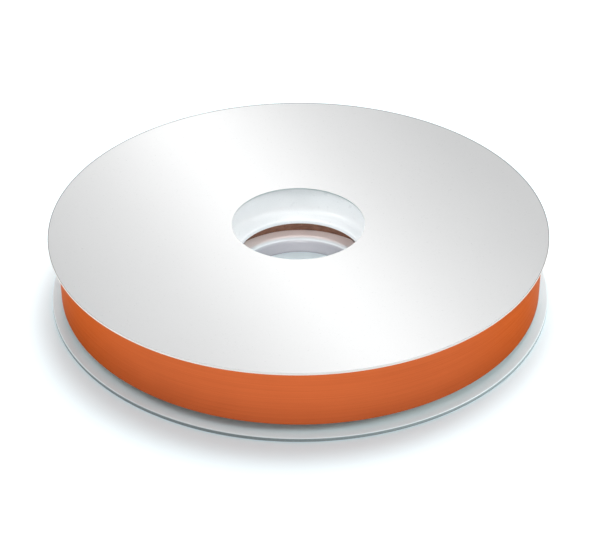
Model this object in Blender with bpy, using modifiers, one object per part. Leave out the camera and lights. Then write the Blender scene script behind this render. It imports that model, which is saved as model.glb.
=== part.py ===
"""Copper foil tape roll: adhesive-backed copper foil wound on a paper core between two flanges.

Metres, +Z up. The roll lies flat. The origin is the middle of its underside, on its axis.
Run with: blender --background --python part.py
"""

import math

import bmesh
import bpy

MM = 0.001

# Driving sizes
TAPE_WIDTH = 12.7 * MM
UPPER_RADIUS = 52.0 * MM
LOWER_RADIUS = 52.5 * MM
PACK_RADIUS = 50.6 * MM
CORE_INNER_RADIUS = 17.7 * MM
CORE_WALL = 2.2 * MM

# Layers of the tape
FOIL = 0.05 * MM
ADHESIVE = 0.03 * MM
LINER = 0.06 * MM

# Room between neighbouring pieces
LAYER_GAP = 0.01 * MM
FACE_GAP = 0.02 * MM
FIT_GAP = 0.05 * MM

# Lower flange: a disc with a raised seat for the core, and a hole that widens upwards
LOWER_DISC = 0.9 * MM
SEAT_HEIGHT = 1.7 * MM
LOWER_BORE_RADIUS = 13.0 * MM
LOWER_BORE_LAND = 0.4 * MM
SEAT_BORE_RADIUS = 13.9 * MM
SEAT_ROUNDING = 0.6 * MM
RIM_ROUNDING = 0.2 * MM

# Upper flange and its face label
UPPER_DISC = 0.45 * MM
UPPER_ROUNDING = 0.1 * MM
UPPER_BORE_RADIUS = 13.9 * MM
LABEL = 0.1 * MM
LABEL_MARGIN = 0.1 * MM

# Glue between the core's ends and the flanges
GLUE = 0.06 * MM
GLUE_MARGIN = 0.3 * MM

# Bushing in the upper end of the core, with the ledge that rides on a 1 inch spindle
SPINDLE_BORE_RADIUS = 13.1 * MM
BUSHING_WALL = 1.4 * MM
LEDGE_BOTTOM = 7.2 * MM
LEDGE_THICKNESS = 1.2 * MM
LEDGE_FILLET = 1.6 * MM
LEDGE_ROUNDING = 0.4 * MM

# Free end of the tape, on the far side of the roll
ROOT_ANGLE = math.radians(75)
END_ANGLE = math.radians(105)
END_CUT_GAP = math.radians(0.3)
ROOT_GAP = math.radians(0.06)

# Fineness of round shapes
TURN_STEPS = 96
GLUE_STEPS = 48
EDGE_ARC_STEPS = 2
FILLET_ARC_STEPS = 4
SPIRAL_STEP = math.radians(2)
CRISP_ANGLE = math.radians(35)
WELD_DISTANCE = 0.001 * MM

# Levels and radii that follow
SEAT_TOP = LOWER_DISC + SEAT_HEIGHT
CORE_BOTTOM = SEAT_TOP + GLUE + 2 * FACE_GAP
CORE_TOP = CORE_BOTTOM + TAPE_WIDTH
TAPE_MIDDLE = CORE_BOTTOM + TAPE_WIDTH / 2
UPPER_DISC_BOTTOM = CORE_TOP + GLUE + 2 * FACE_GAP
LABEL_BOTTOM = UPPER_DISC_BOTTOM + UPPER_DISC + FACE_GAP
CORE_OUTER_RADIUS = CORE_INNER_RADIUS + CORE_WALL
BUSHING_RADIUS = CORE_INNER_RADIUS - FIT_GAP
TURN_THICKNESS = FOIL + ADHESIVE + LINER + 2 * LAYER_GAP


def clear_scene():
    for old in list(bpy.data.objects):
        bpy.data.objects.remove(old, do_unlink=True)


def new_collection(name):
    collection = bpy.data.collections.new(name)
    bpy.context.scene.collection.children.link(collection)
    return collection


def material(name, color, roughness, metallic=0.0):
    found = bpy.data.materials.new(name)
    found.use_nodes = True
    shader = found.node_tree.nodes["Principled BSDF"]
    shader.inputs["Base Color"].default_value = (*color, 1.0)
    shader.inputs["Roughness"].default_value = roughness
    shader.inputs["Metallic"].default_value = metallic
    return found


def add_object(name, data, look):
    data.materials.append(look)
    found = bpy.data.objects.new(name, data)
    ROLL.objects.link(found)
    return found


def add_hinge(name, place):
    """An arrow along the hinge's axis."""
    hinge = bpy.data.objects.new(name, None)
    hinge.empty_display_type = "SINGLE_ARROW"
    hinge.empty_display_size = TAPE_WIDTH
    hinge.location = place
    ROLL.objects.link(hinge)
    return hinge


def corner_arc(radius, height, rounding, start, end, steps=EDGE_ARC_STEPS):
    """Points of a quarter round in the profile's plane, about (radius, height)."""
    points = []
    for step in range(steps + 1):
        angle = math.radians(start + (end - start) * step / steps)
        points.append((radius + rounding * math.cos(angle), height + rounding * math.sin(angle)))
    return points


def as_solid(shape):
    """Replaces a shape by its own welded mesh, smooth where it is round and crisp at its edges."""
    name = shape.name
    look = shape.data.materials[0]
    graph = bpy.context.evaluated_depsgraph_get()
    mesh = bpy.data.meshes.new_from_object(shape.evaluated_get(graph))
    place = shape.matrix_world.copy()
    bpy.data.objects.remove(shape, do_unlink=True)
    cage = bmesh.new()
    cage.from_mesh(mesh)
    bmesh.ops.remove_doubles(cage, verts=cage.verts, dist=WELD_DISTANCE)
    cage.to_mesh(mesh)
    cage.free()
    mesh.shade_smooth()
    mesh.set_sharp_from_angle(angle=CRISP_ANGLE)
    mesh.materials.clear()
    solid = add_object(name, mesh, look)
    solid.matrix_world = place
    return solid


def turned(name, profile, look, steps=TURN_STEPS):
    """A ring: a closed profile of (radius, height) points, turned about Z."""
    count = len(profile)
    mesh = bpy.data.meshes.new(name)
    edges = [(index, (index + 1) % count) for index in range(count)]
    mesh.from_pydata([(radius, 0.0, height) for radius, height in profile], edges, [])
    ring = add_object(name, mesh, look)
    screw = ring.modifiers.new("turn", "SCREW")
    screw.axis = "Z"
    screw.steps = steps
    screw.render_steps = steps
    screw.use_merge_vertices = True
    screw.merge_threshold = WELD_DISTANCE
    return as_solid(ring)


def washer_profile(inner, outer, bottom, top):
    """A square-edged ring, its outer side first, from top to bottom."""
    return [(outer, top), (outer, bottom), (inner, bottom), (inner, top)]


def rounded_profile(inner, outer, bottom, top, rounding):
    """A ring with all four edges rounded."""
    profile = corner_arc(outer - rounding, top - rounding, rounding, 90, 0)
    profile += corner_arc(outer - rounding, bottom + rounding, rounding, 0, -90)
    profile += corner_arc(inner + rounding, bottom + rounding, rounding, -90, -180)
    profile += corner_arc(inner + rounding, top - rounding, rounding, 180, 90)
    return profile


def build_lower_flange(look):
    """The disc that the roll lies on, with the raised seat that lifts the core off it."""
    profile = corner_arc(LOWER_RADIUS - RIM_ROUNDING, LOWER_DISC - RIM_ROUNDING, RIM_ROUNDING, 90, 0)
    profile += corner_arc(LOWER_RADIUS - RIM_ROUNDING, RIM_ROUNDING, RIM_ROUNDING, 0, -90)
    profile += [(LOWER_BORE_RADIUS, 0.0), (LOWER_BORE_RADIUS, LOWER_BORE_LAND)]
    profile += corner_arc(
        SEAT_BORE_RADIUS + SEAT_ROUNDING, SEAT_TOP - SEAT_ROUNDING, SEAT_ROUNDING, 180, 90
    )
    profile += [(CORE_OUTER_RADIUS, SEAT_TOP), (CORE_OUTER_RADIUS, LOWER_DISC)]
    turned("lower_flange", profile, look)


def build_glue_ring(name, bottom, look):
    inner = CORE_INNER_RADIUS + GLUE_MARGIN
    outer = CORE_OUTER_RADIUS - GLUE_MARGIN
    profile = washer_profile(inner, outer, bottom + FACE_GAP, bottom + FACE_GAP + GLUE)
    turned(name, profile, look, GLUE_STEPS)


def build_core(look):
    """The wound paperboard tube."""
    profile = washer_profile(CORE_INNER_RADIUS, CORE_OUTER_RADIUS, CORE_BOTTOM, CORE_TOP)
    turned("paper_core", profile, look)


def build_bushing(look):
    """A sleeve pressed into the core's upper half, with an inward ledge that rides on the spindle."""
    inner = BUSHING_RADIUS - BUSHING_WALL
    ledge_top = LEDGE_BOTTOM + LEDGE_THICKNESS
    lip = SPINDLE_BORE_RADIUS + LEDGE_ROUNDING
    profile = [(BUSHING_RADIUS, CORE_TOP), (BUSHING_RADIUS, LEDGE_BOTTOM)]
    profile += corner_arc(lip, LEDGE_BOTTOM + LEDGE_ROUNDING, LEDGE_ROUNDING, -90, -180)
    profile += corner_arc(lip, ledge_top - LEDGE_ROUNDING, LEDGE_ROUNDING, 180, 90)
    profile += corner_arc(
        inner - LEDGE_FILLET, ledge_top + LEDGE_FILLET, LEDGE_FILLET, -90, 0, FILLET_ARC_STEPS
    )
    profile += [(inner, CORE_TOP)]
    turned("hub_bushing", profile, look)


def build_upper_flange(look):
    top = UPPER_DISC_BOTTOM + UPPER_DISC
    profile = rounded_profile(
        UPPER_BORE_RADIUS, UPPER_RADIUS, UPPER_DISC_BOTTOM, top, UPPER_ROUNDING
    )
    turned("upper_flange", profile, look)


def build_label(look):
    """A blank round sticker over the whole upper face."""
    profile = washer_profile(
        UPPER_BORE_RADIUS + LABEL_MARGIN,
        UPPER_RADIUS - LABEL_MARGIN,
        LABEL_BOTTOM,
        LABEL_BOTTOM + LABEL,
    )
    turned("face_label", profile, look)


def turn_radius(angle):
    """Outside of the last turn at an angle, which grows by one tape thickness in a turn."""
    return PACK_RADIUS - TURN_THICKNESS * (END_ANGLE - angle) / (2 * math.pi)


def arc_points(start, end, inset):
    """Points along the last turn, inset from its outside."""
    count = round(abs(end - start) / SPIRAL_STEP)
    points = []
    for step in range(count + 1):
        angle = start + (end - start) * step / count
        radius = turn_radius(angle) - inset
        points.append((radius * math.cos(angle), radius * math.sin(angle)))
    return points


def circle_points(radius, steps):
    angles = [2 * math.pi * step / steps for step in range(steps)]
    return [(radius * math.cos(angle), radius * math.sin(angle)) for angle in angles]


def extruded(name, outlines, look, origin=(0.0, 0.0)):
    """Flat outlines, the outside first, raised to the width of the tape."""
    curve = bpy.data.curves.new(name, "CURVE")
    curve.dimensions = "2D"
    curve.fill_mode = "BOTH"
    curve.extrude = TAPE_WIDTH / 2
    for outline in outlines:
        spline = curve.splines.new("POLY")
        spline.points.add(len(outline) - 1)
        for point, (x, y) in zip(spline.points, outline):
            point.co = (x - origin[0], y - origin[1], 0.0, 1.0)
        spline.use_cyclic_u = True
    return as_solid(add_object(name, curve, look))


def build_pack(look):
    """All the wound turns. The last one ends in a step where the free end lifts off."""
    full_turn = 2 * math.pi
    outside = arc_points(END_ANGLE - full_turn, ROOT_ANGLE, 0.0)
    outside += arc_points(ROOT_ANGLE, END_ANGLE, TURN_THICKNESS + LAYER_GAP)[:-1]
    inside = circle_points(CORE_OUTER_RADIUS + FIT_GAP, TURN_STEPS)
    pack = extruded("tape_pack", [outside, inside], look)
    pack.location.z = TAPE_MIDDLE


def build_end_layer(name, depth, thickness, look, hinge):
    """One layer of the tape's free end, carried by its hinge."""
    start = ROOT_ANGLE + ROOT_GAP
    end = END_ANGLE - END_CUT_GAP
    outline = arc_points(start, end, depth) + arc_points(end, start, depth + thickness)
    layer = extruded(name, [outline], look, hinge.location.xy)
    layer.parent = hinge


def build_free_end(foil_look, adhesive_look, liner_look):
    """The foil with its adhesive peels from one hinge line, and the paper liner from another."""
    radius = turn_radius(ROOT_ANGLE)
    root = (radius * math.cos(ROOT_ANGLE), radius * math.sin(ROOT_ANGLE), TAPE_MIDDLE)
    peel = add_hinge("tape_end_hinge", root)
    liner_peel = add_hinge("liner_end_hinge", root)
    build_end_layer("tape_end_foil", 0.0, FOIL, foil_look, peel)
    build_end_layer("tape_end_adhesive", FOIL + LAYER_GAP, ADHESIVE, adhesive_look, peel)
    build_end_layer(
        "tape_end_liner", FOIL + ADHESIVE + 2 * LAYER_GAP, LINER, liner_look, liner_peel
    )


def build_roll():
    build_lower_flange(material("white_plastic", (0.62, 0.66, 0.68), 0.35))
    build_glue_ring("lower_glue_ring", SEAT_TOP, material("lower_glue", (0.72, 0.68, 0.55), 0.5))
    build_core(material("kraft_paperboard", (0.16, 0.085, 0.055), 0.85))
    build_bushing(material("bushing_plastic", (0.8, 0.82, 0.83), 0.3))
    build_glue_ring("upper_glue_ring", CORE_TOP, material("upper_glue", (0.72, 0.68, 0.55), 0.5))
    build_upper_flange(material("clear_edged_plastic", (0.74, 0.82, 0.82), 0.2))
    build_label(material("gloss_white_label", (0.85, 0.85, 0.85), 0.15))
    build_pack(material("copper_turns", (0.57, 0.12, 0.03), 0.4, 1.0))
    build_free_end(
        material("copper_foil", (0.6, 0.13, 0.035), 0.35, 1.0),
        material("acrylic_adhesive", (0.75, 0.72, 0.6), 0.4),
        material("release_paper", (0.8, 0.78, 0.7), 0.7),
    )


clear_scene()
ROLL = new_collection("copper_foil_tape_roll")
build_roll()
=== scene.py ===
"""The looks of the copper foil tape roll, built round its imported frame."""

import math

import bmesh
import bpy
from mathutils import Matrix, Vector, noise


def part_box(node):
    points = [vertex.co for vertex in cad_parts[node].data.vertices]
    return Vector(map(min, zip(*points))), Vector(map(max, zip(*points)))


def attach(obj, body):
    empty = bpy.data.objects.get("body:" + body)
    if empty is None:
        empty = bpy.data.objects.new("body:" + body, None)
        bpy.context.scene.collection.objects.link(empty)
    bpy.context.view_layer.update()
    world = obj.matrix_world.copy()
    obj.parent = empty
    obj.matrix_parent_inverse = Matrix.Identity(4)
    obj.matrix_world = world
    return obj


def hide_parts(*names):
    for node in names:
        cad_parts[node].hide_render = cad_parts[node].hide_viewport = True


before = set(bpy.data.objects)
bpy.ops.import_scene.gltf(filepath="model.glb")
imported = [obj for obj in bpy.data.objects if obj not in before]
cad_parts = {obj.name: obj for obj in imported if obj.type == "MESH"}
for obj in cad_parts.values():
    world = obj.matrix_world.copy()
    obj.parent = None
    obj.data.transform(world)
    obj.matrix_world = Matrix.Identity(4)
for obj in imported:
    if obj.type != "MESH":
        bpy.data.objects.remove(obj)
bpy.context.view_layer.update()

MM = 0.001

# Sizes read from the frame
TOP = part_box("face_label")[1].z
UPPER_LOW, UPPER_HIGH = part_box("upper_flange")
LOWER_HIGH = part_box("lower_flange")[1]
BUSHING_LOW, BUSHING_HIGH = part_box("hub_bushing")
CORE_LOW, CORE_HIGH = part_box("paper_core")
PACK_LOW, PACK_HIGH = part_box("tape_pack")
UPPER_RADIUS = UPPER_HIGH.x
LOWER_RADIUS = LOWER_HIGH.x

# Sizes that the boxes don't give, as in the part
LOWER_DISC = 0.9 * MM
LOWER_BORE_LAND = 0.4 * MM
SEAT_BORE_RADIUS = 13.9 * MM
RIM_ROUNDING = 0.2 * MM
BUSHING_WALL = 1.4 * MM
LEDGE_THICKNESS = 1.2 * MM
LEDGE_FILLET = 1.6 * MM
LEDGE_ROUNDING = 0.4 * MM
FOIL = 0.05 * MM
ADHESIVE = 0.03 * MM
LINER = 0.06 * MM
LAYER_GAP = 0.01 * MM
TURN_THICKNESS = FOIL + ADHESIVE + LINER + 2 * LAYER_GAP
PACK_RADIUS = 50.6 * MM
ROOT_ANGLE = math.radians(75)
END_ANGLE = math.radians(105)
END_CUT_GAP = math.radians(0.3)
ROOT_GAP = math.radians(0.06)
FIRST_TURN_RADIUS = PACK_RADIUS - TURN_THICKNESS * END_ANGLE / (2 * math.pi)

# Edges rounded otherwise than in the part, and a recess under the roll that the part leaves out
SEAT_ROUNDING = 0.9 * MM
UPPER_ROUNDING = 0.04 * MM
RECESS_OUTER = 49.5 * MM
RECESS_INNER = 17.1 * MM
RECESS_SLOPE = 0.3 * MM
RECESS_DEPTH = 0.15 * MM

# The upper flange was glued on a little to the left, and its label a little towards the front,
# where it reaches the disc's edge
UPPER_SHIFT = -0.3 * MM
LABEL_SHIFT = -0.15 * MM
LABEL_BORE_OVERHANG = 0.05 * MM
LABEL_FILM = 0.03 * MM
LABEL_WAVE = 0.004 * MM
LABEL_WAVES_PER_METRE = 60
LABEL_SEED = 3.7

# Seams between the plies of the core
SEAM_PITCH = 34 * MM
SEAM_HALF_WIDTH = 0.5 * MM
SEAM_DEPTH = 0.07 * MM
SEAM_REACH = 0.5 * MM

# Unevenness of the winding
LOOSE_TURNS = 8
WANDER = 0.07 * MM
WANDER_RATE = 1.7
WANDER_SEED = (5.1, 0.4)
SWELL = 0.02 * MM
SWELL_ROUND = 2.4
SWELLS_PER_METRE = 110
BURR = 0.012 * MM
BLOCK_BORE_GAP = 0.05 * MM
BLOCK_END_GAP = 0.03 * MM

# Fineness
RING_STEPS = 384
INNER_STEPS = 256
TAPE_STEP = math.radians(1)
FACE_ROWS = 8
HOLDING_CUT = 0.05 * MM
SHARP_ANGLE = math.radians(35)
TOUCHING = 0.001 * MM

# Which of a strip's looks its faces take
OUTER_FACE, SLIT_EDGE, INNER_FACE = 0, 1, 2

# Camera, as the photograph was taken
CAMERA_DISTANCE = 7.2827 * UPPER_RADIUS
CAMERA_ELEVATION = math.radians(34.312)
CAMERA_PITCH = math.radians(0.483)
CAMERA_ROLL = math.radians(0.2)
CAMERA_SENSOR = 36
CAMERA_LENS = 106.47
CAMERA_CLIP = (0.01, 50)

# Floor, world and the card that the label mirrors
FLOOR_HALF = 4.0
FLOOR_DROP = 0.02 * MM
FLOOR_GLOW = 0.1
WORLD_STRENGTH = 0.62
WORLD_TINT = (0.955, 0.985, 1.0)
CARD_HALF_SIZES = (0.4, 0.3)
CARD_DISTANCE = 1.0
CARD_STRENGTH = 5.3
CARD_FAR_STRENGTH = 4.3
CARD_GLOW = [(0.0, 1.0), (0.14, 0.83), (0.5, 0.35), (1.0, 0.035)]
RIDGE_ACROSS = (0.91, 0.42)
RIDGE_OFFSET = 0.02

# Lamps: name, place, what they aim at, size, power and colour
MIDDLE = (0, 0, 0)
BAND_MIDDLE = (0, 0, 0.009)
HOLE = (0, 0.012, 0.008)
WHITE = (1, 1, 1)
STUDIO_LAMPS = (
    ("key", (0.15, 0.62, 1.15), MIDDLE, (1.0, 0.7), 8.0, WHITE),
    ("top", (-0.1, -0.15, 1.2), MIDDLE, (0.8, 0.8), 2.0, WHITE),
)

# Small lamps that each light one piece and nothing else: the piece, then its lamp
LINKED_LAMPS = (
    ("floor", ("sweep", (0.1, 0.35, 1.0), MIDDLE, (0.5, 0.5), 3.6, WHITE)),
    ("hub_bushing_sleeve", ("well", (0.0, -0.7, 0.4), HOLE, (1.0, 0.1), 0.6, WHITE)),
    ("hub_bushing_sleeve", ("well_left", (-0.55, -0.35, 0.5), HOLE, (0.3, 0.2), 2.15, WHITE)),
    ("hub_bushing_sleeve", ("well_right", (0.55, -0.35, 0.5), HOLE, (0.3, 0.2), 1.9, WHITE)),
    ("paper_core_tube", ("glow", (0.0, -0.7, 0.4), HOLE, (0.5, 0.1), 1.2, WHITE)),
    ("hub_bushing_sleeve", ("ledge", (0.0, -0.25, 0.76), HOLE, (1.4, 0.1), 1.3, WHITE)),
    ("lower_flange_disc", ("rim", (0.82, -0.2, 0.5), MIDDLE, (0.4, 0.4), 4.4, (0.75, 1, 1))),
    ("lower_flange_disc", ("rim_left", (-0.65, 0.3, 0.42), MIDDLE, (0.4, 0.4), 2.1, (0.8, 1, 1))),
    ("lower_flange_disc", ("edge", (0.94, -0.34, 0.07), MIDDLE, (0.3, 0.05), 3.5, WHITE)),
    ("wound_tape", ("band", (-0.12, -1.0, 0.1), BAND_MIDDLE, (0.8, 0.16), 2.9, WHITE)),
)

# Narrow beams through the hole, on the lower flange alone: name, place and power
BEAMS = (("seat", (0.0, -0.66, 0.47), 11.0), ("step", (0.0, -0.38, 0.71), 10.0))
BEAM_CONE = math.radians(2.4)
BEAM_RADIUS = 0.01


# ---------------------------------------------------------------- camera, stage and light


def add_camera():
    data = bpy.data.cameras.new("camera")
    data.lens = CAMERA_LENS
    data.sensor_width = CAMERA_SENSOR
    data.clip_start, data.clip_end = CAMERA_CLIP
    camera = bpy.data.objects.new("camera", data)
    bpy.context.scene.collection.objects.link(camera)
    target = Vector((0, 0, LOWER_DISC))
    back = Vector((0, -math.cos(CAMERA_ELEVATION), math.sin(CAMERA_ELEVATION)))
    look = (-back).to_track_quat("-Z", "Y").to_matrix()
    tilt = Matrix.Rotation(CAMERA_PITCH, 3, "X")
    roll = Matrix.Rotation(-CAMERA_ROLL, 3, "Z")
    camera.matrix_world = (
        Matrix.Translation(target + back * CAMERA_DISTANCE) @ (look @ tilt @ roll).to_4x4()
    )
    bpy.context.scene.camera = camera


def add_plane(name, half_x, half_y, look):
    mesh = bpy.data.meshes.new(name)
    corners = [(x * half_x, y * half_y, 0) for x, y in ((-1, -1), (1, -1), (1, 1), (-1, 1))]
    mesh.from_pydata(corners, [], [(0, 1, 2, 3)])
    mesh.materials.append(look)
    plane = bpy.data.objects.new(name, mesh)
    bpy.context.scene.collection.objects.link(plane)
    return plane


def add_floor():
    look, _, shader = new_look("floor", (0.8, 0.9, 0.93), 0.9)
    shader.inputs["Specular IOR Level"].default_value = 0.0
    shader.inputs["Emission Color"].default_value = (0.94, 0.98, 1.0, 1)
    shader.inputs["Emission Strength"].default_value = FLOOR_GLOW
    floor = add_plane("floor", FLOOR_HALF, FLOOR_HALF, look)
    floor.location.z = -FLOOR_DROP


def add_card():
    """A white card behind the roll, brightest along one slanting line, that the label mirrors."""
    look = bpy.data.materials.new("card")
    look.use_nodes = True
    tree = look.node_tree
    tree.nodes.clear()

    # The place on the label, across and along it, where each point of the card is mirrored
    sine, cosine = math.sin(CAMERA_ELEVATION), math.cos(CAMERA_ELEVATION)
    reach = CARD_DISTANCE + CAMERA_DISTANCE
    place = split(tree, coordinates(tree))
    below = calc(tree, "MULTIPLY_ADD", place["Y"], cosine, reach * sine)
    along = calc(tree, "DIVIDE", calc(tree, "MULTIPLY", place["Y"], -CAMERA_DISTANCE), below)
    scale = calc(tree, "MULTIPLY_ADD", along, cosine / reach, CAMERA_DISTANCE / reach)
    across = calc(tree, "MULTIPLY", place["X"], scale)

    # How far that is from the bright line, in radii of the label
    offset = calc(tree, "MULTIPLY_ADD", across, RIDGE_ACROSS[0] / UPPER_RADIUS, -RIDGE_OFFSET)
    offset = calc(tree, "MULTIPLY_ADD", along, RIDGE_ACROSS[1] / UPPER_RADIUS, offset)
    glow = ramp(tree, calc(tree, "ABSOLUTE", offset), CARD_GLOW)
    strength = fitted(tree, along, CARD_STRENGTH, CARD_FAR_STRENGTH, 0.0, UPPER_RADIUS)
    emission = add(tree, "ShaderNodeEmission", {"Color": glow, "Strength": strength})
    add(tree, "ShaderNodeOutputMaterial", {"Surface": emission.outputs["Emission"]})

    card = add_plane("card", *CARD_HALF_SIZES, look)
    toward = Vector((0, cosine, sine))
    facing = Matrix(((1, 0, 0), (0, -sine, -cosine), (0, cosine, -sine)))
    card.matrix_world = (
        Matrix.Translation(Vector((0, 0, TOP)) + toward * CARD_DISTANCE) @ facing.to_4x4()
    )
    card.visible_camera = False
    card.visible_shadow = False


def add_world():
    world = bpy.data.worlds.new("studio")
    world.use_nodes = True
    background = world.node_tree.nodes["Background"]
    background.inputs["Color"].default_value = (*WORLD_TINT, 1)
    background.inputs["Strength"].default_value = WORLD_STRENGTH
    bpy.context.scene.world = world


def place_lamp(name, data, place, target):
    lamp = bpy.data.objects.new(name, data)
    bpy.context.scene.collection.objects.link(lamp)
    lamp.location = place
    lamp.rotation_mode = "QUATERNION"
    lamp.rotation_quaternion = (Vector(target) - Vector(place)).to_track_quat("-Z", "Y")
    return lamp


def add_area(name, place, target, size, power, tint):
    data = bpy.data.lights.new(name, "AREA")
    data.shape = "RECTANGLE"
    data.size, data.size_y = size
    data.energy = power
    data.color = tint
    return place_lamp(name, data, place, target)


def add_beam(name, place, power):
    data = bpy.data.lights.new(name, "SPOT")
    data.energy = power
    data.spot_size = BEAM_CONE
    data.shadow_soft_size = BEAM_RADIUS
    return place_lamp(name, data, place, HOLE)


def lights_only(lamp, piece):
    """The lamp falls on this piece and on nothing else."""
    receivers = bpy.data.collections.new(lamp.name + "_receivers")
    receivers.objects.link(bpy.data.objects[piece])
    lamp.light_linking.receiver_collection = receivers


# ---------------------------------------------------------------- material nodes


def new_look(name, color, roughness, **sockets):
    """A material, with the shader's sockets set by their names, a _ standing for each space."""
    made = bpy.data.materials.new(name)
    made.use_nodes = True
    shader = made.node_tree.nodes["Principled BSDF"]
    shader.inputs["Base Color"].default_value = (*color, 1)
    shader.inputs["Roughness"].default_value = roughness
    for key, value in sockets.items():
        shader.inputs[key.replace("_", " ")].default_value = value
    return made, made.node_tree, shader


def add(tree, kind, inputs=None, **settings):
    """A node with its settings, and with each input joined to a socket or set to a value."""
    made = tree.nodes.new(kind)
    for key, value in settings.items():
        setattr(made, key, value)
    for key, value in (inputs or {}).items():
        if isinstance(value, bpy.types.NodeSocket):
            tree.links.new(value, made.inputs[key])
        else:
            made.inputs[key].default_value = value
    return made


def calc(tree, operation, *values):
    return add(tree, "ShaderNodeMath", dict(enumerate(values)), operation=operation).outputs[0]


def coordinates(tree):
    return add(tree, "ShaderNodeTexCoord").outputs["Object"]


def split(tree, vector):
    return add(tree, "ShaderNodeSeparateXYZ", {"Vector": vector}).outputs


def scaled(tree, vector, scale):
    node = add(tree, "ShaderNodeVectorMath", {0: vector, 1: scale}, operation="MULTIPLY")
    return node.outputs["Vector"]


def even(size):
    return (size, size, size)


def grain(tree, scale, detail=3.0, roughness=0.5, distortion=0.0):
    """Noise from 0 to 1 that repeats about every 1/scale metres along each axis."""
    inputs = {
        "Vector": scaled(tree, coordinates(tree), scale),
        "Scale": 1.0,
        "Detail": detail,
        "Roughness": roughness,
        "Distortion": distortion,
    }
    return add(tree, "ShaderNodeTexNoise", inputs).outputs["Fac"]


def ramp(tree, factor, stops):
    """A colour for each factor, from stops of (place, value or colour)."""
    node = add(tree, "ShaderNodeValToRGB", {"Fac": factor})
    elements = node.color_ramp.elements
    while len(elements) < len(stops):
        elements.new(0.5)
    for element, (place, value) in zip(elements, stops):
        element.position = place
        element.color = (*value, 1) if isinstance(value, tuple) else (value, value, value, 1)
    return node.outputs["Color"]


def fitted(tree, factor, low, high, start=0.3, end=0.7):
    """The factor's range from start to end, spread from low to high."""
    inputs = {
        "Value": factor, "From Min": start, "From Max": end, "To Min": low, "To Max": high,
    }
    return add(tree, "ShaderNodeMapRange", inputs).outputs["Result"]


def blended(tree, factor, first, second, mode="MIX"):
    """Two colours mixed by a factor; a Mix node's colours are inputs 6 and 7, and output 2."""
    node = add(tree, "ShaderNodeMix", data_type="RGBA", blend_type=mode)
    for index, value in ((0, factor), (6, first), (7, second)):
        if isinstance(value, bpy.types.NodeSocket):
            tree.links.new(value, node.inputs[index])
        else:
            node.inputs[index].default_value = (*value, 1) if isinstance(value, tuple) else value
    return node.outputs[2]


def join(tree, output, shader, socket):
    tree.links.new(output, shader.inputs[socket])


def bump(tree, shader, height, distance):
    inputs = {"Height": height, "Distance": distance, "Strength": 1.0}
    join(tree, add(tree, "ShaderNodeBump", inputs).outputs["Normal"], shader, "Normal")


def axis_distance(tree, place):
    """How far a point is from the roll's axis."""
    square = calc(tree, "MULTIPLY", place["Y"], place["Y"])
    return calc(tree, "SQRT", calc(tree, "MULTIPLY_ADD", place["X"], place["X"], square))


# ---------------------------------------------------------------- materials


def label_look():
    """Gloss-coated paper, a trace uneven in tone and with a faint orange peel."""
    look, tree, shader = new_look(
        "gloss_label_paper", (0.6, 0.6, 0.6), 0.3, Coat_Weight=1.0, Coat_Roughness=0.1
    )
    fibre = grain(tree, even(2600), 4, 0.6)
    color = ramp(tree, fibre, [(0.3, (0.54, 0.538, 0.537)), (0.7, (0.548, 0.545, 0.543))])
    shade = ramp(tree, grain(tree, even(45), 2), [(0.3, 0.985), (0.7, 1.0)])
    join(tree, blended(tree, 1.0, color, shade, "MULTIPLY"), shader, "Base Color")
    join(tree, fitted(tree, fibre, 0.27, 0.33), shader, "Roughness")
    bump(tree, shader, grain(tree, even(620), 2, 0.4), 0.00025 * MM)
    return look


def upper_flange_look():
    """Clear-edged plastic: cream at the outer edge, green under the label in the bore.

    The margin that the label leaves free is painted near black, a painted shade for the light that
    sinks into the disc there.
    """
    look, tree, shader = new_look("clear_edged_plastic", (0.7, 0.84, 0.83), 0.5)
    place = split(tree, coordinates(tree))
    top = UPPER_HIGH.z
    outside = fitted(tree, axis_distance(tree, place), 0.0, 1.0, 20 * MM, 40 * MM)
    # Painted shade: the top of the outer edge, the margin the label leaves free, goes near black
    above = fitted(tree, place["Z"], 0.0, 1.0, top - 0.008 * MM, top)
    upper = fitted(tree, place["Z"], 0.0, 1.0, top - 0.24 * MM, top - 0.16 * MM)
    cloud = grain(tree, even(300), 3)
    cream = ramp(tree, cloud, [(0.3, (0.88, 0.8, 0.75)), (0.7, (0.92, 0.85, 0.8))])
    cream = blended(tree, above, cream, (0.05, 0.06, 0.06))
    green = ramp(tree, cloud, [(0.3, (0.27, 0.45, 0.44)), (0.7, (0.33, 0.51, 0.5))])
    green = blended(tree, upper, (0.74, 0.78, 0.78), green)
    join(tree, blended(tree, outside, green, cream), shader, "Base Color")
    join(tree, fitted(tree, grain(tree, even(1500), 3), 0.45, 0.58), shader, "Roughness")
    bump(tree, shader, grain(tree, (400, 400, 9000), 2), 0.004 * MM)
    return look


def plastic_look(name, low, high, roughness, depth, painted_light=None):
    """Satin moulded plastic with a faint cloudiness, fine matt grain and wiping marks."""
    look, tree, shader = new_look(name, high, roughness[0], Coat_Weight=0.15, Coat_Roughness=0.3)
    color = ramp(tree, grain(tree, even(60), 3, 0.6), [(0.32, low), (0.68, high)])
    # Painted shade and painted light, where given, are laid on the colour here
    if painted_light:
        color = painted_light(tree, color)
    fine = grain(tree, even(5200), 2)
    speck = ramp(tree, fine, [(0.3, 0.97), (0.6, 1.0)])
    join(tree, blended(tree, 1.0, color, speck, "MULTIPLY"), shader, "Base Color")
    wipe = grain(tree, (900, 140, 900), 3, 0.6, 0.4)
    join(tree, fitted(tree, wipe, *roughness), shader, "Roughness")
    bump(tree, shader, fine, depth)
    return look


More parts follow.
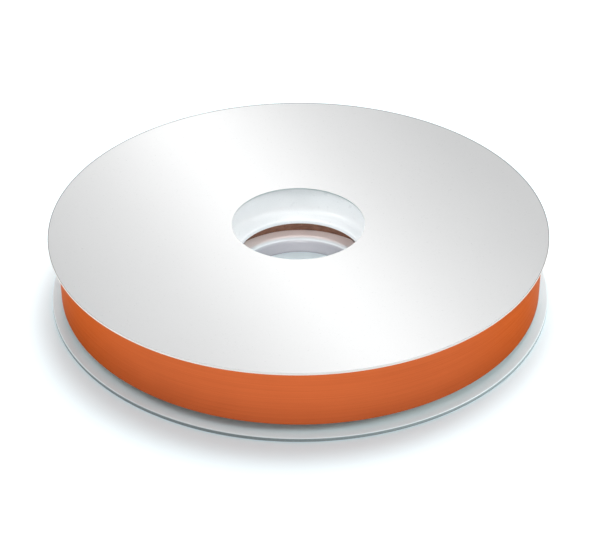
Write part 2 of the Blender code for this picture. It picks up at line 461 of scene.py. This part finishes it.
def lower_flange_painted_light(tree, color):
    """Painted shade on the edge and in the bore, and a painted warm bounce of light from the brown
    tube round the tube's foot.
    """
    place = split(tree, coordinates(tree))
    out = axis_distance(tree, place)
    # Painted shade: the disc's outer edge, below its top face, goes dark grey
    rim = fitted(tree, out, 0.0, 1.0, LOWER_RADIUS - 0.08 * MM, LOWER_RADIUS)
    below = fitted(tree, place["Z"], 1.0, 0.0, LOWER_DISC - 0.08 * MM, LOWER_DISC)
    color = blended(tree, calc(tree, "MULTIPLY", rim, below), color, (0.21, 0.24, 0.245))
    # Painted shade: the bore's wall goes grey-lavender
    bore = fitted(tree, out, 1.0, 0.0, SEAT_BORE_RADIUS, SEAT_BORE_RADIUS + 0.25 * MM)
    color = blended(tree, bore, color, (0.37, 0.365, 0.395))
    # Painted light: the seat round the tube's foot is tinted pink, a painted bounce of light from
    # the brown tube
    foot = fitted(tree, out, 0.0, 1.0, SEAT_BORE_RADIUS + 0.7 * MM, SEAT_BORE_RADIUS + 1.7 * MM)
    raised = fitted(tree, place["Z"], 0.0, 1.0, LOWER_DISC + 0.2 * MM, LOWER_DISC + 0.8 * MM)
    return blended(tree, calc(tree, "MULTIPLY", foot, raised), color, (0.97, 0.85, 0.82))


def kraft_look():
    """Brown board, its fibres lying round the tube."""
    look, tree, shader = new_look("kraft_board", (0.31, 0.155, 0.1), 0.85)
    fibre = grain(tree, (700, 700, 2600), 6, 0.7, 0.6)
    browns = [(0.28, (0.19, 0.088, 0.056)), (0.5, (0.3, 0.145, 0.093)), (0.74, (0.42, 0.22, 0.145))]
    color = ramp(tree, fibre, browns)
    shade = ramp(tree, grain(tree, even(120), 3), [(0.3, 0.85), (0.7, 1.05)])
    join(tree, blended(tree, 1.0, color, shade, "MULTIPLY"), shader, "Base Color")
    join(tree, fitted(tree, fibre, 0.75, 0.95), shader, "Roughness")
    bump(tree, shader, fibre, 0.05 * MM)
    return look


def copper_look():
    """Rolled copper: long faint streaks along the tape, and slow patches of duller metal."""
    look, tree, shader = new_look(
        "rolled_copper", (0.62, 0.13, 0.036), 0.45, Metallic=1.0, Specular_Tint=(0.8, 0.5, 0.38, 1)
    )
    streak = grain(tree, (26, 26, 4200), 3, 0.6)
    patch = grain(tree, (55, 55, 90), 3, 0.55, 0.3)
    color = ramp(tree, streak, [(0.3, (0.58, 0.12, 0.036)), (0.7, (0.64, 0.139, 0.042))])
    shade = ramp(tree, patch, [(0.3, (0.95, 0.93, 0.93)), (0.7, (1.0, 1.0, 1.0))])
    join(tree, blended(tree, 1.0, color, shade, "MULTIPLY"), shader, "Base Color")
    join(tree, fitted(tree, grain(tree, (60, 60, 2400), 4, 0.6), 0.4, 0.5), shader, "Roughness")
    fine = grain(tree, (1200, 1200, 3000), 3, 0.6)
    bump(tree, shader, calc(tree, "MULTIPLY_ADD", streak, 0.6, fine), 0.0012 * MM)
    return look


def slit_edges_look():
    """The slit edges of the turns: copper, clear adhesive and white liner, over and over."""
    look, tree, shader = new_look("slit_edges", (0.5, 0.3, 0.2), 0.6)
    place = split(tree, coordinates(tree))
    turned = calc(tree, "DIVIDE", calc(tree, "ARCTAN2", place["Y"], place["X"]), 2 * math.pi)
    inward = calc(tree, "SUBTRACT", FIRST_TURN_RADIUS, axis_distance(tree, place))
    count = calc(tree, "ADD", calc(tree, "DIVIDE", inward, TURN_THICKNESS), turned)
    phase = calc(tree, "FRACT", count)
    layers = [
        (0.0, (0.5, 0.12, 0.035)), (0.32, (0.5, 0.12, 0.035)),
        (0.38, (0.6, 0.55, 0.42)), (0.62, (0.66, 0.63, 0.55)),
        (0.9, (0.6, 0.57, 0.5)), (1.0, (0.06, 0.03, 0.02)),
    ]
    dirt = ramp(tree, grain(tree, even(420), 4, 0.6), [(0.3, 0.72), (0.7, 1.0)])
    color = blended(tree, 1.0, ramp(tree, phase, layers), dirt, "MULTIPLY")
    join(tree, color, shader, "Base Color")
    join(tree, fitted(tree, phase, 0.4, 0.75, 0.3, 0.4), shader, "Roughness")
    height = ramp(tree, phase, [(0.0, 1.0), (0.35, 1.0), (0.45, 0.6), (0.9, 0.6), (1.0, 0.0)])
    bump(tree, shader, height, 0.03 * MM)
    return look


def liner_look():
    """Smooth release paper with its fibres just showing."""
    look, tree, shader = new_look("release_paper", (0.78, 0.75, 0.66), 0.5)
    fibre = grain(tree, (900, 900, 3200), 5, 0.65, 0.3)
    color = ramp(tree, fibre, [(0.3, (0.7, 0.67, 0.58)), (0.7, (0.82, 0.8, 0.72))])
    join(tree, color, shader, "Base Color")
    join(tree, fitted(tree, fibre, 0.45, 0.62), shader, "Roughness")
    bump(tree, shader, fibre, 0.006 * MM)
    return look


def adhesive_look(name, low, high):
    """Clear acrylic that has dried with small ripples and bubbles."""
    look, tree, shader = new_look(name, high, 0.2, Coat_Weight=0.5)
    ripple = grain(tree, even(900), 4, 0.6, 0.8)
    join(tree, ramp(tree, ripple, [(0.3, low), (0.7, high)]), shader, "Base Color")
    join(tree, fitted(tree, ripple, 0.12, 0.4), shader, "Roughness")
    bump(tree, shader, ripple, 0.02 * MM)
    return look


def paint(node, look):
    """A CAD node keeps its shape and takes this look."""
    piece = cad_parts[node]
    piece.data.materials.clear()
    piece.data.materials.append(look)


# ---------------------------------------------------------------- outlines and meshes


def inner_radius(node):
    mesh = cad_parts[node].data
    return min(vertex.co.xy.length for vertex in mesh.vertices)


def rounded(corners, steps=4):
    """A closed outline from (radius, height, rounding) corners, each with its arc."""
    outline = []
    count = len(corners)
    for index, (x, y, rounding) in enumerate(corners):
        here = Vector((x, y))
        back = (Vector(corners[index - 1][:2]) - here).normalized()
        ahead = (Vector(corners[(index + 1) % count][:2]) - here).normalized()
        if rounding == 0.0:
            outline.append(here)
            continue
        half = math.acos(max(-1.0, min(1.0, back.dot(ahead)))) / 2
        centre = here + (back + ahead).normalized() * (rounding / math.sin(half))
        start = here + back * (rounding / math.tan(half)) - centre
        end = here + ahead * (rounding / math.tan(half)) - centre
        sweep = start.angle_signed(end)
        for step in range(steps + 1):
            turn = -sweep * step / steps
            cosine, sine = math.cos(turn), math.sin(turn)
            turned = (start.x * cosine - start.y * sine, start.x * sine + start.y * cosine)
            outline.append(centre + Vector(turned))
    return outline


def refined(outline, longest):
    """The outline with its long straight runs cut up.

    A run is cut close to both its ends as well, so that it shades flat up to the edge.
    """
    points = []
    for index, point in enumerate(outline):
        ahead = outline[(index + 1) % len(outline)]
        run = (ahead - point).length
        cuts = max(1, math.ceil(run / longest))
        places = [cut / cuts for cut in range(cuts)]
        if run > 4 * HOLDING_CUT:
            places = sorted(places + [HOLDING_CUT / run, 1 - HOLDING_CUT / run])
        points += [point.lerp(ahead, place) for place in places]
    return points


def washer(inner, outer, bottom, top, rounding):
    """The corners of a flat ring's section."""
    places = ((outer, top), (outer, bottom), (inner, bottom), (inner, top))
    return [(*place, rounding) for place in places]


def quads(count, here, ahead):
    """The faces between two closed rows of points, which start at here and at ahead."""
    pairs = [(index, (index + 1) % count) for index in range(count)]
    return [(here + index, ahead + index, ahead + other, here + other) for index, other in pairs]


def finish_piece(name, verts, faces, node, body, looks, face_looks=None, shift=None):
    """A smooth-shaded piece that rides on a body and stands for a CAD node."""
    mesh = bpy.data.meshes.new(name)
    mesh.from_pydata(verts, [], faces)
    for look in looks:
        mesh.materials.append(look)
    if face_looks:
        mesh.polygons.foreach_set("material_index", face_looks)
    cage = bmesh.new()
    cage.from_mesh(mesh)
    if shift:
        for vertex in cage.verts:
            vertex.co += shift(vertex.co)
    bmesh.ops.recalc_face_normals(cage, faces=cage.faces)
    cage.to_mesh(mesh)
    cage.free()
    mesh.shade_smooth()
    mesh.set_sharp_from_angle(angle=SHARP_ANGLE)
    piece = bpy.data.objects.new(name, mesh)
    bpy.context.scene.collection.objects.link(piece)
    weighted = piece.modifiers.new("even_normals", "WEIGHTED_NORMAL")
    weighted.keep_sharp = True
    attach(piece, body)
    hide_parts(node)


def ring(name, outline, steps, node, look, shift=None):
    """An outline turned about the roll's axis, standing for a CAD node."""
    count = len(outline)
    verts, faces = [], []
    for step in range(steps):
        angle = 2 * math.pi * step / steps
        cosine, sine = math.cos(angle), math.sin(angle)
        verts += [(point.x * cosine, point.x * sine, point.y) for point in outline]
        faces += quads(count, step * count, (step + 1) % steps * count)
    finish_piece(name, verts, faces, node, "roll", [look], shift=shift)


# ---------------------------------------------------------------- turned pieces


def make_label():
    """The sticker lies a little unevenly on its disc."""
    inner = inner_radius("upper_flange") - LABEL_BORE_OVERHANG
    outer = UPPER_RADIUS + LABEL_SHIFT
    bottom = UPPER_HIGH.z

    def laid(place):
        where = place * LABEL_WAVES_PER_METRE
        swell = noise.noise(Vector((where.x, where.y, LABEL_SEED)))
        upper_side = place.z > bottom + LABEL_FILM / 2
        return Vector((UPPER_SHIFT, LABEL_SHIFT, LABEL_WAVE * (swell - 1) if upper_side else 0))

    corners = washer(inner, outer, bottom, bottom + LABEL_FILM, 0.01 * MM)
    outline = refined(rounded(corners, steps=3), longest=1.5 * MM)
    ring("face_label_sheet", outline, RING_STEPS, "face_label", label_look(), laid)


def make_upper_flange():
    def shifted(place):
        return Vector((UPPER_SHIFT, 0, 0))

    inner = inner_radius("upper_flange")
    corners = washer(inner, UPPER_RADIUS, UPPER_LOW.z, UPPER_HIGH.z, UPPER_ROUNDING)
    outline = rounded(corners, steps=5)
    look = upper_flange_look()
    ring("upper_flange_sheet", outline, RING_STEPS, "upper_flange", look, shifted)


def make_lower_flange():
    """A disc with a shallow recess below, and above it a seat whose hole widens upwards."""
    bore = inner_radius("lower_flange")
    seat_top, seat_outer = LOWER_HIGH.z, CORE_HIGH.x
    corners = [
        (LOWER_RADIUS, LOWER_DISC, RIM_ROUNDING),
        (LOWER_RADIUS, 0.0, RIM_ROUNDING),
        (RECESS_OUTER, 0.0, 0.1 * MM),
        (RECESS_OUTER - RECESS_SLOPE, RECESS_DEPTH, 0.1 * MM),
        (RECESS_INNER + RECESS_SLOPE, RECESS_DEPTH, 0.1 * MM),
        (RECESS_INNER, 0.0, 0.1 * MM),
        (bore, 0.0, 0.08 * MM),
        (bore, LOWER_BORE_LAND, 0.08 * MM),
        (SEAT_BORE_RADIUS, seat_top, SEAT_ROUNDING),
        (seat_outer, seat_top, 0.12 * MM),
        (seat_outer, LOWER_DISC, 0.35 * MM),
    ]
    # The disc's colour takes painted shade on its edge and in its bore, and a painted warm bounce
    # of light round the tube's foot
    look = plastic_look(
        "satin_white_plastic", (0.715, 0.76, 0.785), (0.755, 0.8, 0.825), (0.32, 0.46), 0.004 * MM,
        lower_flange_painted_light,
    )
    outline = refined(rounded(corners), longest=1.2 * MM)
    ring("lower_flange_disc", outline, RING_STEPS, "lower_flange", look)


def make_bushing():
    """A sleeve with an inward ledge at its lower end."""
    bore = inner_radius("hub_bushing")
    outer, top, bottom = BUSHING_HIGH.x, BUSHING_HIGH.z, BUSHING_LOW.z
    wall = outer - BUSHING_WALL
    corners = [
        (outer, top, 0.1 * MM),
        (outer, bottom, 0.25 * MM),
        (bore, bottom, LEDGE_ROUNDING),
        (bore, bottom + LEDGE_THICKNESS, LEDGE_ROUNDING),
        (wall, bottom + LEDGE_THICKNESS, LEDGE_FILLET),
        (wall, top, 0.3 * MM),
    ]
    look = plastic_look(
        "white_bushing_plastic", (0.87, 0.885, 0.895), (0.91, 0.92, 0.925), (0.26, 0.38), 0.003 * MM
    )
    outline = refined(rounded(corners, steps=8), longest=1.0 * MM)
    ring("hub_bushing_sleeve", outline, INNER_STEPS, "hub_bushing", look)


def make_core():
    """Kraft plies wound on the slant: their butt seams run round the tube as shallow grooves."""
    inner, outer = inner_radius("paper_core"), CORE_HIGH.x

    def seam(place):
        radius = place.xy.length
        angle = math.atan2(place.y, place.x) / (2 * math.pi)
        turn = (place.z / SEAM_PITCH + angle) % 1.0
        away = min(turn, 1 - turn) * SEAM_PITCH
        depth = SEAM_DEPTH * max(0.0, 1 - away / SEAM_HALF_WIDTH)
        outward = 1 if radius < inner + SEAM_REACH else -1 if radius > outer - SEAM_REACH else 0
        shift = place.xy.normalized() * (depth * outward)
        return Vector((shift.x, shift.y, 0))

    corners = washer(inner, outer, CORE_LOW.z, CORE_HIGH.z, 0.12 * MM)
    outline = refined(rounded(corners, steps=3), longest=0.4 * MM)
    ring("paper_core_tube", outline, INNER_STEPS, "paper_core", kraft_look(), seam)


# ---------------------------------------------------------------- tape


def turn_radius(angle):
    """Outside of the wound tape at an angle along it, counted on from the last turn's start."""
    return PACK_RADIUS - TURN_THICKNESS * (END_ANGLE - angle) / (2 * math.pi)


def tape_strip(start, end, depth, thickness):
    """A run of the tape, or of one of its layers, wound at its place on the roll.

    Each row across it has its two faces, its slit edges and the burr along the outer corners.
    The turns wander a little to and fro along the axis, as hand-fed turns do.
    """
    low, high = PACK_LOW.z, PACK_HIGH.z
    burr = min(BURR, thickness * 0.3)
    section = [(burr, low), (0.0, low + 2 * burr)]
    section += [(0.0, low + (high - low) * part / FACE_ROWS) for part in range(1, FACE_ROWS)]
    section += [(0.0, high - 2 * burr), (burr, high), (thickness, high), (thickness, low)]
    looks = [OUTER_FACE] * (FACE_ROWS + 2) + [SLIT_EDGE, INNER_FACE, SLIT_EDGE]
    count = len(section)
    steps = max(2, round((end - start) / TAPE_STEP))
    verts, faces = [], []
    for step in range(steps + 1):
        angle = start + (end - start) * step / steps
        wander = WANDER * noise.noise(Vector((angle * WANDER_RATE, *WANDER_SEED)))
        cosine, sine = math.cos(angle), math.sin(angle)
        for inset, height in section:
            where = (cosine * SWELL_ROUND, sine * SWELL_ROUND, height * SWELLS_PER_METRE)
            radius = turn_radius(angle) - depth - inset + SWELL * noise.noise(Vector(where))
            verts.append((radius * cosine, radius * sine, height + wander))
    for step in range(steps):
        faces += quads(count, step * count, (step + 1) * count)
    faces += [tuple(range(count)), tuple(range(steps * count, (steps + 1) * count))]
    return verts, faces, looks * steps + [SLIT_EDGE, SLIT_EDGE]


def make_pack(looks):
    """The outermost turns one by one, round a block of the turns below them."""
    first = ROOT_ANGLE - 2 * math.pi * LOOSE_TURNS
    verts, faces, face_looks = tape_strip(first, ROOT_ANGLE, 0.0, TURN_THICKNESS - LAYER_GAP)
    inner, outer = CORE_HIGH.x + BLOCK_BORE_GAP, turn_radius(first) - TURN_THICKNESS
    bottom, top = PACK_LOW.z + BLOCK_END_GAP, PACK_HIGH.z - BLOCK_END_GAP
    outline = refined(rounded(washer(inner, outer, bottom, top, 0.0)), longest=2.0 * MM)
    count, base = len(outline), len(verts)
    for step in range(RING_STEPS):
        part = step / RING_STEPS
        angle = first + 2 * math.pi * part
        for point in outline:
            on_outside = point.x > outer - TOUCHING
            radius = point.x + (TURN_THICKNESS * part if on_outside else 0.0)
            verts.append((radius * math.cos(angle), radius * math.sin(angle), point.y))
        faces += quads(count, base + step * count, base + (step + 1) % RING_STEPS * count)
        face_looks += [SLIT_EDGE] * count
    finish_piece("wound_tape", verts, faces, "tape_pack", "roll", looks, face_looks)


def make_free_end(copper, adhesive, liner):
    """The last few centimetres of the tape, a strip for each of its layers."""
    start, end = ROOT_ANGLE + ROOT_GAP, END_ANGLE - END_CUT_GAP
    adhesive_depth = FOIL + LAYER_GAP
    liner_depth = adhesive_depth + ADHESIVE + LAYER_GAP
    layers = (
        ("tape_end_copper", "tape_end_foil", "tape_end", 0.0, FOIL, copper),
        ("tape_end_glue", "tape_end_adhesive", "tape_end", adhesive_depth, ADHESIVE, adhesive),
        ("tape_end_paper", "tape_end_liner", "liner_end", liner_depth, LINER, liner),
    )
    for name, node, body, depth, thickness, look in layers:
        verts, faces, face_looks = tape_strip(start, end, depth, thickness)
        finish_piece(name, verts, faces, node, body, [look] * 3, face_looks)


# ---------------------------------------------------------------- build


bpy.context.scene.view_settings.view_transform = "Standard"
add_camera()
add_floor()
add_card()
add_world()
for lamp in STUDIO_LAMPS:
    add_area(*lamp)

make_label()
make_upper_flange()
make_lower_flange()
make_bushing()
make_core()

copper, slit_edges, liner = copper_look(), slit_edges_look(), liner_look()
make_pack([copper, slit_edges, liner])
adhesive = adhesive_look("clear_adhesive", (0.7, 0.66, 0.5), (0.78, 0.75, 0.62))
make_free_end(copper, adhesive, liner)
glue = adhesive_look("dried_glue", (0.6, 0.53, 0.36), (0.74, 0.69, 0.54))
paint("upper_glue_ring", glue)
paint("lower_glue_ring", glue)

for piece, lamp in LINKED_LAMPS:
    lights_only(add_area(*lamp), piece)
for beam in BEAMS:
    lights_only(add_beam(*beam), "lower_flange_disc")
